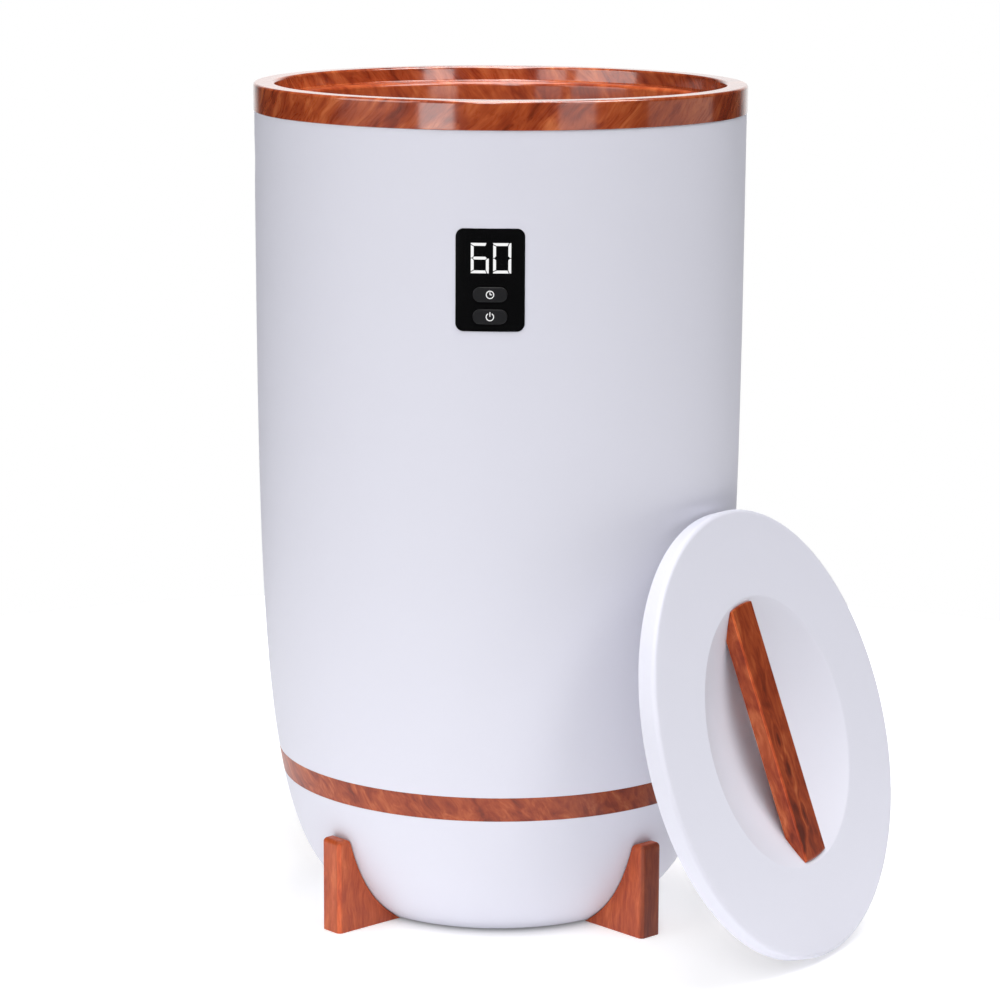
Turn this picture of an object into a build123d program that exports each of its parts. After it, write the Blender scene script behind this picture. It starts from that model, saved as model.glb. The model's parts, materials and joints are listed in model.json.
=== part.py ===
from build123d import *
import math
import os

# A free-standing bucket towel warmer. The tub stands on four legs, and its lid leans against the wall
# beside it. The origin is on the tub's axis at the height of the floor, +Z is up and the control panel
# faces -Y. All sizes are in millimetres.

# ---- driving dimensions ------------------------------------------------------------------------------

# Tub wall: radius = BODY_R - TAPER * exp(-z / TAPER_H) - TUCK * exp(-z / TUCK_H)
BODY_R = 165.0
TAPER = 44.8
TAPER_H = 90.0
TUCK = 23.5
TUCK_H = 20.0
WALL_T = 3.0

BASE_Z = 1.8
BAND_LOW = 90.5
BAND_HIGH = 107.2
BODY_TOP = 542.9
RIM_TOP = 561.4
BAND_T = 1.5
SEAM_GAP = 0.1

# Rim ring, with the recess that takes the lid
RIM_R = 165.5
RECESS_R = 151.5
RECESS_FOOT_R = 150.6
RECESS_DEPTH = 10.0
LEDGE_R = 147.4
LEDGE_T = 4.0
SKIRT_LOW = 530.0
RIM_EDGE_R = 2.0

# Wood-look collar inside the rim, and the heated pot that hangs under it
COLLAR_R = 140.5
COLLAR_FOOT_R = 138.0
COLLAR_LIP_R = 3.0
COLLAR_LOW = 520.0
FLANGE_R = 153.0
FLANGE_T = 2.3
GASKET_T = 1.3
POT_R = 143.4
POT_T = 1.2
POT_FLOOR = 190.0
POT_CORNER_R = 12.0

# Bowl, its floor opening and the plate that closes it
FLOOR_T = 4.0
BOWL_TUCK_Z = 5.0
BOWL_TUCK = 4.0
BOWL_EDGE_R = 2.5
PLATE_R = 81.7
PLATE_T = 1.9
PLATE_OPENING_R = 74.0
PLATE_SCREW_R = 78.0

# Legs
LEG_ANGLES = {"front_left": -45.0, "front_right": 45.0, "rear_left": -135.0, "rear_right": 135.0}
LEG_R = 152.0
LEG_T = 18.0
LEG_TOP = 64.4
LEG_LIFT = 0.4
LEG_GAP = 0.55
LEG_EDGE_R = 3.2
LEG_SCREW_HEIGHTS = (28.0, 48.0)
PAD_CENTRE_R = 128.0
PAD_LENGTH = 34.0
PAD_WIDTH = 11.0
PAD_T = 2.6

# Control panel
PANEL_Z = 449.0
PANEL_W = 43.7
PANEL_H = 65.1
PANEL_CORNER_R = 5.0
WINDOW_R = 165.05
WINDOW_T = 2.0
WINDOW_LEDGE = 3.0
DIGIT_W = 11.9
DIGIT_H = 19.7
DIGIT_STROKE = 2.35
DIGIT_PITCH = 14.1
DIGIT_GAP = 0.27
DIGITS_Z = 463.0
BUTTON_W = 21.8
BUTTON_H = 9.3
BUTTON_PROUD = 0.6
BUTTON_GAP = 0.3
TIMER_Z = 439.9
POWER_Z = 425.8
ICON_R = 2.62
ICON_STROKE = 0.55

# Lid, drawn flat about its own axis with the face at height 0 and then set leaning on the tub
LID_R = 149.3
LID_T = 12.6
LID_WALL = 2.5
LID_EDGE_R = 3.0
DISH_R = 90.6
DISH_SPHERE_R = 176.0
DISH_EDGE_R = 2.5
LINER_T = 2.2
BOSS_R = 139.0
BOSS_DEPTH = 6.5
HANDLE_W = 29.2
HANDLE_T = 10.5
HANDLE_END_R = 87.8
HANDLE_EDGE_R = 1.4
HANDLE_SCREW_R = 76.0
LINER_SCREW_R = 128.0
LID_CENTRE = (189.9, -117.3, 146.2)
LID_AZIMUTH = 60.3
LID_TILT = 17.55
LID_ROLL = 4.4

# Fasteners: shank radius, length, head radius, head height
SMALL_SCREW = (1.5, 7.8, 2.8, 1.8)
LEG_SCREW = (2.0, 16.0, 3.5, 2.2)
HANDLE_SCREW = (2.0, 8.5, 3.5, 2.0)
PLATE_SCREW = (1.5, 5.0, 2.8, 1.4)
LINER_SCREW = (1.5, 9.0, 2.8, 1.4)
PANEL_SCREW = (1.2, 5.0, 2.3, 1.6)

# Heating parts round and under the pot
RIM_SCREW_R = 150.2
POT_TOP = RIM_TOP - RECESS_DEPTH - LEDGE_T - 0.2 - FLANGE_T - GASKET_T
MAT_R = POT_R + POT_T + 0.1
MAT_T = 1.2
MAT_LOW = 225.0
MAT_HIGH = 480.0
MAT_GAP = 6.0
SLEEVE_R = MAT_R + MAT_T + 0.1
SLEEVE_T = 6.2
SLEEVE_LOW = 205.0
SLEEVE_HIGH = 534.0
FELT_IN_R = 22.0
FELT_OUT_R = 128.0
FELT_T = 9.9
RING_IN_R = 60.0
RING_OUT_R = 136.0
RING_T = 1.5
RING_HOLE_R = 8.0
RING_HOLES_AT_R = 112.0
POST_TOP = POT_FLOOR - 12.0
POST_R = 4.0
POSTS_AT_R = 88.0
LEAD_Z = 250.0
LEAD_R = 1.2
SENSOR_LEAD_R = 0.9

# Power board on the base plate, and the cord's entry at the back
BOARD_Z = 14.0
BOARD_T = 1.6
BOARD_W = 104.0
BOARD_D = 60.0
STANDOFFS = [(x, y) for x in (-47, 47) for y in (-25, 25)]
STANDOFF_R = 3.0
CLIP_R = 1.5
GLAND_Z = 44.0
GLAND_R = 6.0
CORD_R = 3.6
NUT_T = 4.0

# Behind the panel, as distances in front of the tub's axis
FRAME_R = 155.2
FRAME_W = 49.0
FRAME_H = 68.0
PANEL_BOSS_R = FRAME_R + 1.8
PANEL_BOSS_SIZE = 3.6
PANEL_BOSSES = [(x, PANEL_Z + dz) for x in (-30.5, 30.5) for dz in (-24, 24)]
DISPLAY_R = 154.0
DISPLAY_W = 45.5
DISPLAY_H = 64.5
MODULE_R = 161.5
MODULE_X = 0.5
GUIDE_R = 162.4
SWITCH_R = 158.6
PLUNGER_R = 1.75
PLUNGER_TIP = 159.8
STEM_R = 2.5
FLANGE_FRONT = 162.1
ICON_DEPTH = 0.3
RIBBON_T = 0.9
RIBBON_W = 10.0

# Under the lid
LINER_FLOOR = -LID_T - BOSS_DEPTH
GASKET_IN_R = 141.5
GASKET_OUT_R = 144.5
LID_BOSS_R = 4.0
FOAM_IN_R = 96.0
FOAM_OUT_R = 135.0

UPWARD = (Align.CENTER, Align.CENTER, Align.MIN)
BEYOND = 170.0


# ---- shared shapes -----------------------------------------------------------------------------------

def wall_radius(z):
    """Outer radius of the tub's wall at height z."""
    return BODY_R - TAPER * math.exp(-z / TAPER_H) - TUCK * math.exp(-z / TUCK_H)


def wall_curve(low, high, inset, steps=12):
    """The tub's wall in the XZ plane, from one height to another, moved inward by inset."""
    heights = [low + (high - low) * i / steps for i in range(steps + 1)]
    return Spline(*[(wall_radius(z) - inset, 0, z) for z in heights])


def radial_line(*points):
    """Straight lines through points given as (radius, height)."""
    return Polyline(*[(r, 0, z) for r, z in points])


def turned(*lines):
    """The solid of revolution about Z whose closed outline is made of these lines."""
    return revolve(make_face(Curve() + list(lines)), Axis.Z)


def turned_ring(*points):
    """The solid of revolution about Z of a polygon given as (radius, height)."""
    return turned(radial_line(*points, points[0]))


def tube(inner, outer, low, high):
    """A plain ring between two radii and two heights."""
    ring = Pos(0, 0, low) * Cylinder(outer, high - low, align=UPWARD)
    if inner > 0:
        ring -= Pos(0, 0, low - 1) * Cylinder(inner, high - low + 2, align=UPWARD)
    return ring


def round_rims(part, radius, *rims):
    """Fillets the circular edges that lie at the given (radius, height) places."""
    circles = part.edges().filter_by(GeomType.CIRCLE)
    wanted = [e for e in circles for r, z in rims
              if abs(e.radius - r) < 0.02 and abs(e.arc_center.Z - z) < 0.02]
    return fillet(wanted, radius)


def polar(radius, angle, z=0.0):
    """A point at a radius and an angle, which is measured from -Y towards +X."""
    a = math.radians(angle)
    return Vector(radius * math.sin(a), -radius * math.cos(a), z)


def wall_place(angle, z, inset=0.0, inward=False):
    """A frame on the tub's wall whose Z axis is the wall's normal."""
    slope = TAPER / TAPER_H * math.exp(-z / TAPER_H) + TUCK / TUCK_H * math.exp(-z / TUCK_H)
    normal = (polar(1, angle) - Vector(0, 0, slope)).normalized()
    origin = polar(wall_radius(z), angle, z) - normal * inset
    side = polar(1, angle + 90)
    return Plane(origin=origin, x_dir=side, z_dir=-normal if inward else normal).location


def screws(places, size, grow=0.0):
    """Screws driven along the Z axis of each place, their heads below it; grow makes cutters."""
    shank_r, length, head_r, head_h = size
    one = Cylinder(shank_r + grow, length, align=UPWARD)
    one += Pos(0, 0, -head_h) * Cylinder(head_r + grow, head_h, align=UPWARD)
    return [place * one for place in places]


def cut(part, tools):
    """The part without any of the tools."""
    for tool in tools:
        part -= tool
    return part


def box(low, high):
    """A box between two corners."""
    size = [b - a for a, b in zip(low, high)]
    return Pos(*low) * Box(*size, align=(Align.MIN, Align.MIN, Align.MIN))


def front_prism(sketch, near, far):
    """A sketch drawn in X and Z, made solid between two distances in front of the axis."""
    return extrude(Plane.XZ.offset(near) * sketch, far - near)


def front_plate(sketch, inner, outer):
    """A plate with a sketch's outline, curved about the tub's axis between two radii."""
    blank = front_prism(sketch, inner - 25, outer + 5)
    return blank & tube(inner, outer, PANEL_Z - PANEL_H, PANEL_Z + PANEL_H)


def wire(points, bends, radius):
    """A round wire along straight runs joined by arcs."""
    path = FilletPolyline(*points, radius=bends)
    section = Plane(origin=path @ 0, z_dir=path % 0) * Circle(radius)
    return sweep(section, path=path)


# ---- tub casing --------------------------------------------------------------------------------------

def make_outer_shell():
    """Upper wall of the tub, rebated at its foot for the band and open at the panel."""
    foot = BAND_LOW + 8.0
    outside = wall_curve(BAND_HIGH, BODY_TOP, 0)
    heights = (foot, BAND_HIGH + 4.0, 130.0, 170.0, 220.0, 290.0, 380.0, BODY_TOP)
    inside = radial_line(*[(wall_radius(z) - WALL_T, z) for z in heights])
    top = radial_line((wall_radius(BODY_TOP), BODY_TOP), (wall_radius(BODY_TOP) - WALL_T, BODY_TOP))
    rebate = radial_line(
        (wall_radius(foot) - WALL_T, foot),
        (wall_radius(foot) - BAND_T, foot),
        (wall_radius(BAND_HIGH) - BAND_T, BAND_HIGH),
        (wall_radius(BAND_HIGH), BAND_HIGH),
    )
    shell = turned(outside, top, inside, rebate)
    within_wall = tube(0, wall_radius(PANEL_Z) - 1, PANEL_Z - 40, PANEL_Z + 40)
    bosses = [front_prism(Pos(x, z) * Circle(PANEL_BOSS_SIZE), PANEL_BOSS_R, BEYOND) for x, z in PANEL_BOSSES]
    shell += [boss & within_wall for boss in bosses]
    shell -= front_plate(panel_outline(0.15), WINDOW_R - WINDOW_T - 0.05, WINDOW_R + 2)
    shell -= front_prism(panel_outline(-WINDOW_LEDGE), DISPLAY_R, BEYOND)
    return cut(shell, screws(panel_screw_places(), PANEL_SCREW))


def make_lower_bowl():
    """Bowl under the band, with a spigot inside the shell and a floor opening."""
    spigot_top = BAND_HIGH + 2.0
    spigot_inset = WALL_T + 0.2
    inner_inset = spigot_inset + 2.2
    floor_top = BASE_Z + FLOOR_T
    corner_r = wall_radius(BOWL_TUCK_Z) - BOWL_TUCK
    outside = wall_curve(BOWL_TUCK_Z, BAND_LOW, 0)
    inside = wall_curve(floor_top + 6.0, spigot_top, inner_inset)
    shoulder = radial_line(
        (wall_radius(BAND_LOW), BAND_LOW),
        (wall_radius(BAND_LOW) - BAND_T, BAND_LOW),
        (wall_radius(BAND_LOW + 7.8) - BAND_T, BAND_LOW + 7.8),
        (wall_radius(BAND_LOW + 7.8) - spigot_inset, BAND_LOW + 7.8),
        (wall_radius(spigot_top) - spigot_inset, spigot_top),
        (wall_radius(spigot_top) - inner_inset, spigot_top),
    )
    floor = radial_line(
        (wall_radius(floor_top + 6.0) - inner_inset, floor_top + 6.0),
        (wall_radius(floor_top) - inner_inset - 4.0, floor_top),
        (PLATE_OPENING_R, floor_top),
        (PLATE_OPENING_R, BASE_Z + PLATE_T + 0.1),
        (PLATE_R + 0.2, BASE_Z + PLATE_T + 0.1),
        (PLATE_R + 0.2, BASE_Z),
        (corner_r, BASE_Z),
        (wall_radius(BOWL_TUCK_Z), BOWL_TUCK_Z),
    )
    bowl = turned(outside, shoulder, inside, floor)
    bowl = round_rims(bowl, BOWL_EDGE_R, (corner_r, BASE_Z))
    bowl = cut(bowl, screws(leg_screw_places(), LEG_SCREW))
    bowl = cut(bowl, screws(plate_screw_places(), PLATE_SCREW))
    bore = Pos(0, 0, -12) * Cylinder(GLAND_R + 0.05, 24, align=UPWARD)
    return bowl - wall_place(180, GLAND_Z) * bore


def make_trim_band():
    """Wood-look band that covers the seam between the shell and the bowl."""
    low = BAND_LOW + SEAM_GAP
    high = BAND_HIGH - SEAM_GAP
    inset = BAND_T - 0.05
    ends = [
        radial_line((wall_radius(z), z), (wall_radius(z) - inset, z)) for z in (low, high)
    ]
    return turned(wall_curve(low, high, 0, 4), wall_curve(low, high, inset, 4), *ends)


def make_rim_ring():
    """Wood-look ring on the tub's mouth: a hollow rim, the lid's ledge and a skirt."""
    ledge_top = RIM_TOP - RECESS_DEPTH
    ledge_low = ledge_top - LEDGE_T
    skirt_r = wall_radius(BODY_TOP) - WALL_T - 0.6
    cavity_top = RIM_TOP - 3.5
    ring = turned_ring(
        (RIM_R, BODY_TOP + SEAM_GAP),
        (RIM_R, RIM_TOP),
        (RECESS_R, RIM_TOP),
        (RECESS_FOOT_R, ledge_top),
        (LEDGE_R, ledge_top),
        (LEDGE_R, ledge_low),
        (FLANGE_R + 1, ledge_low),
        (FLANGE_R + 1, cavity_top),
        (skirt_r - 2.5, cavity_top),
        (skirt_r - 2.5, SKIRT_LOW),
        (skirt_r, SKIRT_LOW),
        (skirt_r, BODY_TOP + SEAM_GAP),
    )
    ring = round_rims(ring, RIM_EDGE_R, (RIM_R, RIM_TOP), (RECESS_R, RIM_TOP))
    ring = round_rims(ring, 1.0, (RECESS_FOOT_R, ledge_top))
    ring = round_rims(ring, 0.4, (RIM_R, BODY_TOP + SEAM_GAP))
    return cut(ring, screws(rim_screw_places(), SMALL_SCREW))


def make_inner_collar():
    """Wood-look lining of the mouth, with a rounded lip and a flange under the ledge."""
    lip = RIM_TOP - RECESS_DEPTH - 0.2
    flange_top = RIM_TOP - RECESS_DEPTH - LEDGE_T - 0.2
    flange_low = flange_top - FLANGE_T
    collar = turned_ring(
        (COLLAR_FOOT_R, COLLAR_LOW),
        (COLLAR_R, lip),
        (LEDGE_R - 0.4, lip),
        (LEDGE_R - 0.4, flange_top),
        (FLANGE_R, flange_top),
        (FLANGE_R, flange_low),
        (POT_R - 0.4, flange_low),
        (POT_R - 0.4, COLLAR_LOW),
    )
    collar = round_rims(collar, COLLAR_LIP_R, (COLLAR_R, lip))
    return cut(collar, screws(rim_screw_places(), SMALL_SCREW))


def make_pot_gasket():
    """Silicone ring between the collar's flange and the pot's."""
    gasket = tube(POT_R + 0.1, FLANGE_R, POT_TOP, POT_TOP + GASKET_T)
    return cut(gasket, screws(rim_screw_places(), SMALL_SCREW))


def make_heating_pot():
    """Spun aluminium pot that the towels go in, flanged at the mouth."""
    outer_r = POT_R + POT_T
    pot = Pos(0, 0, POT_FLOOR) * Cylinder(outer_r, POT_TOP - POT_FLOOR, align=UPWARD)
    pot = round_rims(pot, POT_CORNER_R, (outer_r, POT_FLOOR))
    hollow = Pos(0, 0, POT_FLOOR + POT_T) * Cylinder(POT_R, POT_TOP - POT_FLOOR, align=UPWARD)
    hollow = round_rims(hollow, POT_CORNER_R - POT_T, (POT_R, POT_FLOOR + POT_T))
    pot = pot - hollow + tube(POT_R, FLANGE_R, POT_TOP - POT_T, POT_TOP)
    return cut(pot, screws(rim_screw_places(), SMALL_SCREW))


def rim_screw_places():
    """Eight places under the pot's flange, pointing up into the rim's ledge."""
    return [Plane(origin=polar(RIM_SCREW_R, 22.5 + 45 * i, POT_TOP - POT_T)).location for i in range(8)]


# ---- legs and underside ------------------------------------------------------------------------------

def leg_place(angle):
    """A frame for a leg: X outward, Y across its thickness, Z up."""
    return Plane(origin=(0, 0, 0), x_dir=polar(1, angle), z_dir=(0, 0, 1)).location


def leg_screw_places():
    """Two places per leg on the bowl's inner face, pointing out along the wall's normal."""
    return [
        wall_place(angle, z, inset=4.2) for angle in LEG_ANGLES.values() for z in LEG_SCREW_HEIGHTS
    ]


def make_leg(angle):
    """Wood-look fin whose inner edge follows the bowl."""
    top_r = wall_radius(LEG_TOP) + LEG_GAP
    foot_r = wall_radius(LEG_LIFT) + LEG_GAP
    edges = radial_line((foot_r, LEG_LIFT), (LEG_R, LEG_LIFT), (LEG_R, LEG_TOP), (top_r, LEG_TOP))
    side = make_face(Curve() + [wall_curve(LEG_LIFT, LEG_TOP, -LEG_GAP, 8), edges])
    leg = extrude(side, LEG_T / 2, both=True)
    outer = leg.edges().filter_by(Axis.Z).group_by(Axis.X)[-1]
    leg = fillet(outer + leg.faces().sort_by(Axis.Z)[-1].edges(), LEG_EDGE_R)
    leg -= Pos(0, 0, LEG_LIFT) * foot_pad_blank(0.05, PAD_T - LEG_LIFT + 0.05)
    return cut(leg_place(angle) * leg, screws(leg_screw_places(), LEG_SCREW))


def foot_pad_blank(grow, height):
    """A foot pad's outline as a solid, in a leg's own frame."""
    outline = Pos(PAD_CENTRE_R, 0) * RectangleRounded(PAD_LENGTH + 2 * grow, PAD_WIDTH + 2 * grow, 2.5)
    return extrude(outline, height)


def make_base_plate():
    """Vented plate that closes the bowl from below and carries the power board."""
    plate = tube(0, PLATE_R, BASE_Z, BASE_Z + PLATE_T)
    slot = SlotOverall(20, 3.2)
    for i in range(16):
        vent = Rot(0, 0, 22.5 * i) * Pos(62, 0) * slot
        plate -= Pos(0, 0, BASE_Z - 1) * extrude(vent, PLATE_T + 2)
    return cut(plate, screws(plate_screw_places(), PLATE_SCREW))


def plate_screw_places():
    """Six places on the base plate's underside, pointing up into the bowl's floor."""
    return [Plane(origin=polar(PLATE_SCREW_R, 30 + 60 * i, BASE_Z)).location for i in range(6)]


# ---- heating parts -----------------------------------------------------------------------------------

def make_heater_mat():
    """Silicone heating mat wrapped round the pot, its ends just apart at the back."""
    mat = tube(MAT_R, MAT_R + MAT_T, MAT_LOW, MAT_HIGH)
    return mat - box((-MAT_GAP / 2, 0, MAT_LOW - 1), (MAT_GAP / 2, 2 * MAT_R, MAT_HIGH + 1))


def make_insulation_sleeve():
    """Felt sleeve round the mat, with a hole for the mat's leads."""
    sleeve = tube(SLEEVE_R, SLEEVE_R + SLEEVE_T, SLEEVE_LOW, SLEEVE_HIGH)
    return sleeve - Pos(0, SLEEVE_R, LEAD_Z) * Rot(90, 0, 0) * Cylinder(6, 40)


def make_floor_insulation():
    """Felt ring under the pot, open in the middle for the thermostat."""
    return tube(FELT_IN_R, FELT_OUT_R, POT_FLOOR - 0.1 - FELT_T, POT_FLOOR - 0.1)


def make_support_ring():
    """Pressed steel ring that carries the felt under the pot."""
    ring = tube(RING_IN_R, RING_OUT_R, POST_TOP, POST_TOP + RING_T)
    hole = Cylinder(RING_HOLE_R, 4 * RING_T)
    return cut(ring, [Pos(*polar(RING_HOLES_AT_R, 22.5 + 45 * i, POST_TOP)) * hole for i in range(8)])


def make_support_posts():
    """Four posts between the bowl's floor and the support ring."""
    low = BASE_Z + FLOOR_T
    post = Cylinder(POST_R, POST_TOP - low, align=UPWARD)
    return [Pos(*polar(POSTS_AT_R, 45 + 90 * i, low)) * post for i in range(4)]


def make_thermostat():
    """Disc thermostat held against the pot's floor by its bracket."""
    body = tube(0, 8, POT_FLOOR - 9, POT_FLOOR - 1)
    bracket = box((-14, -5, POT_FLOOR - 1), (14, 5, POT_FLOOR - 0.1))
    tabs = [box((x - 0.4, -3, POT_FLOOR - 15), (x + 0.4, 3, POT_FLOOR - 9)) for x in (-4, 4)]
    return body + bracket + tabs


def make_thermal_fuse():
    """Thermal cut-off lying across the pot's floor."""
    return Pos(0, 13, POT_FLOOR - 2.4) * Rot(0, 90, 0) * Cylinder(2.2, 14)


def make_temperature_sensor():
    """Temperature probe lying across the pot's floor."""
    return Pos(0, -13, POT_FLOOR - 1.9) * Rot(0, 90, 0) * Cylinder(1.7, 12)


def make_sensor_leads():
    """Wires from the sensor and the cut-off down to the power board."""
    top = POT_FLOOR - 4.8
    low = BOARD_Z + BOARD_T
    ends = ((-4.5, 13, -16), (4.5, 13, -10), (4.5, -13, 10), (-4.5, -13, 16))
    return [
        wire([(x, y, top), (x, y, 120), (at, y, 70), (at, y, low)], [20, 20], SENSOR_LEAD_R)
        for x, y, at in ends
    ]


def make_heater_leads():
    """Two insulated wires from the board up the back to the heater mat."""
    rise_r = SLEEVE_R + SLEEVE_T + 2.6
    leads = []
    for x in (-3.2, 3.2):
        points = [
            (x, 20, BOARD_Z + BOARD_T), (x, 20, 48), (x, 125, 95), (x, rise_r, 200),
            (x, rise_r, LEAD_Z), (x, MAT_R + MAT_T, LEAD_Z),
        ]
        leads.append(wire(points, [10, 30, 30, 1.9], LEAD_R))
    return leads


# ---- electronics -------------------------------------------------------------------------------------

def make_power_board():
    """Circuit board that feeds the heater and the panel."""
    board = Pos(0, 0, BOARD_Z) * Box(BOARD_W, BOARD_D, BOARD_T, align=UPWARD)
    return cut(board, [Pos(x, y, BOARD_Z) * Cylinder(CLIP_R + 0.1, 4 * BOARD_T) for x, y in STANDOFFS])


def make_board_standoffs():
    """Four pillars with clips that hold the power board above the base plate."""
    low = BASE_Z + PLATE_T
    pillar = Cylinder(STANDOFF_R, BOARD_Z - low, align=UPWARD)
    clip = Pos(0, 0, BOARD_Z - low) * Cylinder(CLIP_R, 2 * BOARD_T, align=UPWARD)
    return [Pos(x, y, low) * (pillar + clip) for x, y in STANDOFFS]


def on_board(x, y, width, depth, height):
    """A block that sits on the power board, centred at x, y."""
    base = BOARD_Z + BOARD_T
    return box((x - width / 2, y - depth / 2, base), (x + width / 2, y + depth / 2, base + height))


def make_capacitor():
    """Smoothing capacitor standing on the power board."""
    can = Pos(-12, -20, BOARD_Z + BOARD_T) * Cylinder(5, 20, align=UPWARD)
    return fillet(can.edges().sort_by(Axis.Z)[-1], 0.8)


def make_panel_frame():
    """Bracket behind the panel that holds the display board on the shell's bosses."""
    outline = Pos(0, PANEL_Z) * RectangleRounded(FRAME_W, FRAME_H, 2)
    hole = Pos(0, PANEL_Z) * Rectangle(FRAME_W - 3, FRAME_H - 3)
    frame = front_prism(outline - hole, FRAME_R, FRAME_R + 5.5)
    ears = [
        front_prism(Pos(x, z) * Rectangle(13, 9), FRAME_R, PANEL_BOSS_R) for x, z in PANEL_BOSSES
    ]
    boss = Circle(PANEL_BOSS_SIZE + 0.1)
    frame = cut(frame + ears, [front_prism(Pos(x, z) * boss, PANEL_BOSS_R, BEYOND) for x, z in PANEL_BOSSES])
    return cut(frame & tube(0, 161.2, 400, 500), screws(panel_screw_places(), PANEL_SCREW))


def panel_screw_places():
    """Four places behind the frame's ears, pointing forward into the shell's bosses."""
    return [
        Plane(origin=(x, -FRAME_R, z), x_dir=(1, 0, 0), z_dir=(0, -1, 0)).location for x, z in PANEL_BOSSES
    ]


def make_display_board():
    """Circuit board behind the panel."""
    return front_prism(Pos(0, PANEL_Z) * Rectangle(DISPLAY_W, DISPLAY_H), DISPLAY_R, DISPLAY_R + BOARD_T)


def make_led_module():
    """Two-digit display block on the display board."""
    outline = Pos(MODULE_X, DIGITS_Z) * Rectangle(2 * DIGIT_PITCH + 1.8, DIGIT_H + 3.3)
    return front_prism(outline, DISPLAY_R + BOARD_T, MODULE_R)


def make_tact_switches():
    """Two switch bodies on the display board, each bored for its plunger."""
    base = DISPLAY_R + BOARD_T
    switches = []
    for z in (TIMER_Z, POWER_Z):
        body = front_prism(Pos(0, z) * Rectangle(6.2, 6.2), base, SWITCH_R)
        switches.append(body - front_prism(Pos(0, z) * Circle(PLUNGER_R + 0.35), base + 0.4, SWITCH_R + 1))
    return switches


def make_buzzer():
    """Buzzer beside the switches on the display board."""
    return front_prism(Pos(16.5, 432) * Circle(4.5), DISPLAY_R + BOARD_T, DISPLAY_R + BOARD_T + 4.5)


def make_panel_ribbon():
    """Ribbon cable from the power board up the front to the display board."""
    ribbon_r = SLEEVE_R + SLEEVE_T + RIBBON_T
    points = [
        (-22, BOARD_Z + BOARD_T), (-22, 50), (-120, 95), (-ribbon_r, 190), (-ribbon_r, 416.5),
    ]
    path = FilletPolyline(*points, radius=[8, 30, 40])
    ribbon = Plane.YZ * make_face(trace(path, RIBBON_T).faces()[0].outer_wire())
    return extrude(ribbon, RIBBON_W / 2, both=True)


# ---- control panel -----------------------------------------------------------------------------------

def panel_outline(grow=0.0):
    """Rounded outline of the panel."""
    corner = max(PANEL_CORNER_R + grow, 1.5)
    return Pos(0, PANEL_Z) * RectangleRounded(PANEL_W + 2 * grow, PANEL_H + 2 * grow, corner)


def digit_segments(left, lit):
    """Outlines of the named segments of one seven-segment digit, from its left edge."""
    w, h, t, m = DIGIT_W, DIGIT_H, DIGIT_STROKE, DIGIT_H / 2
    upper = {
        "a": [(0, h), (w - 0.6 * t, h), (w - t, h - t), (t, h - t), (0, h - 0.5 * t)],
        "b": [(w - 0.6 * t, h), (w, h), (w, m), (w - t / 2, m), (w - t, m + t / 2), (w - t, h - t)],
        "f": [(0, h - 0.5 * t), (t, h - t), (t, m + t / 2), (t / 2, m), (0, m)],
        "g": [(t / 2, m), (t, m + t / 2), (w - t, m + t / 2), (w - t / 2, m), (w - t, m - t / 2),
              (t, m - t / 2)],
    }
    mirrored = {"d": "a", "c": "b", "e": "f"}
    outlines = []
    for name in lit:
        points = upper.get(name) or [(x, h - y) for x, y in upper[mirrored[name]]]
        face = make_face(Polyline(*points, close=True))
        outlines.append(Pos(left, DIGITS_Z - m) * offset(face, -DIGIT_GAP, kind=Kind.INTERSECTION))
    return outlines


def lit_outlines():
    """Segments of the two digits that show 60."""
    first = MODULE_X - (DIGIT_PITCH + DIGIT_W) / 2
    return digit_segments(first, "acdefg") + digit_segments(first + DIGIT_PITCH, "abcdef")


def make_lit_segments():
    """Light guides that carry the digits through the window."""
    return [front_plate(outline, GUIDE_R, WINDOW_R + 0.05) for outline in lit_outlines()]


def make_display_window():
    """Glossy window over the display, with openings for the buttons and the light guides."""
    window = front_plate(panel_outline(), WINDOW_R - WINDOW_T, WINDOW_R)
    for z in (TIMER_Z, POWER_Z):
        hole = SlotOverall(BUTTON_W + 2 * BUTTON_GAP, BUTTON_H + 2 * BUTTON_GAP)
        window -= front_prism(Pos(0, z) * hole, DISPLAY_R, BEYOND)
    return cut(window, [front_prism(outline, DISPLAY_R, BEYOND) for outline in lit_outlines()])


def make_button(z, icon):
    """Pill-shaped button with a retaining flange and a stem, and its icon let into the face."""
    face_r = WINDOW_R + BUTTON_PROUD
    pill = SlotOverall(BUTTON_W, BUTTON_H)
    cap = front_prism(Pos(0, z) * pill, FLANGE_FRONT - 1, BEYOND) & tube(0, face_r, z - 20, z + 20)
    front = cap.faces().sort_by(Axis.Y)[0]
    cap = fillet(front.edges(), 0.35)
    flange = SlotOverall(BUTTON_W + 2.4, BUTTON_H + 2.4)
    cap += front_prism(Pos(0, z) * flange, FLANGE_FRONT - 1, FLANGE_FRONT)
    cap += front_prism(Pos(0, z) * Circle(STEM_R), PLUNGER_TIP, FLANGE_FRONT - 1)
    return cap - front_plate(Pos(0, z) * icon, face_r - ICON_DEPTH, face_r + 2)


def make_icon(z, icon):
    """The icon itself, filling its place in the button's face."""
    face_r = WINDOW_R + BUTTON_PROUD
    return front_plate(Pos(0, z) * icon, face_r - ICON_DEPTH, face_r + 0.03)


def make_plunger(z):
    """Switch plunger that the button's stem pushes."""
    return front_prism(Pos(0, z) * Circle(PLUNGER_R), PLUNGER_TIP - 2.5, PLUNGER_TIP)


def clock_icon():
    """A clock face with two hands."""
    half = ICON_STROKE / 2
    ring = Circle(ICON_R) - Circle(ICON_R - ICON_STROKE)
    hands = Pos(0, 0.75) * Rectangle(ICON_STROKE, 1.5 + half) + Pos(0.65, 0) * Rectangle(1.3, ICON_STROKE)
    return ring + hands


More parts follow.
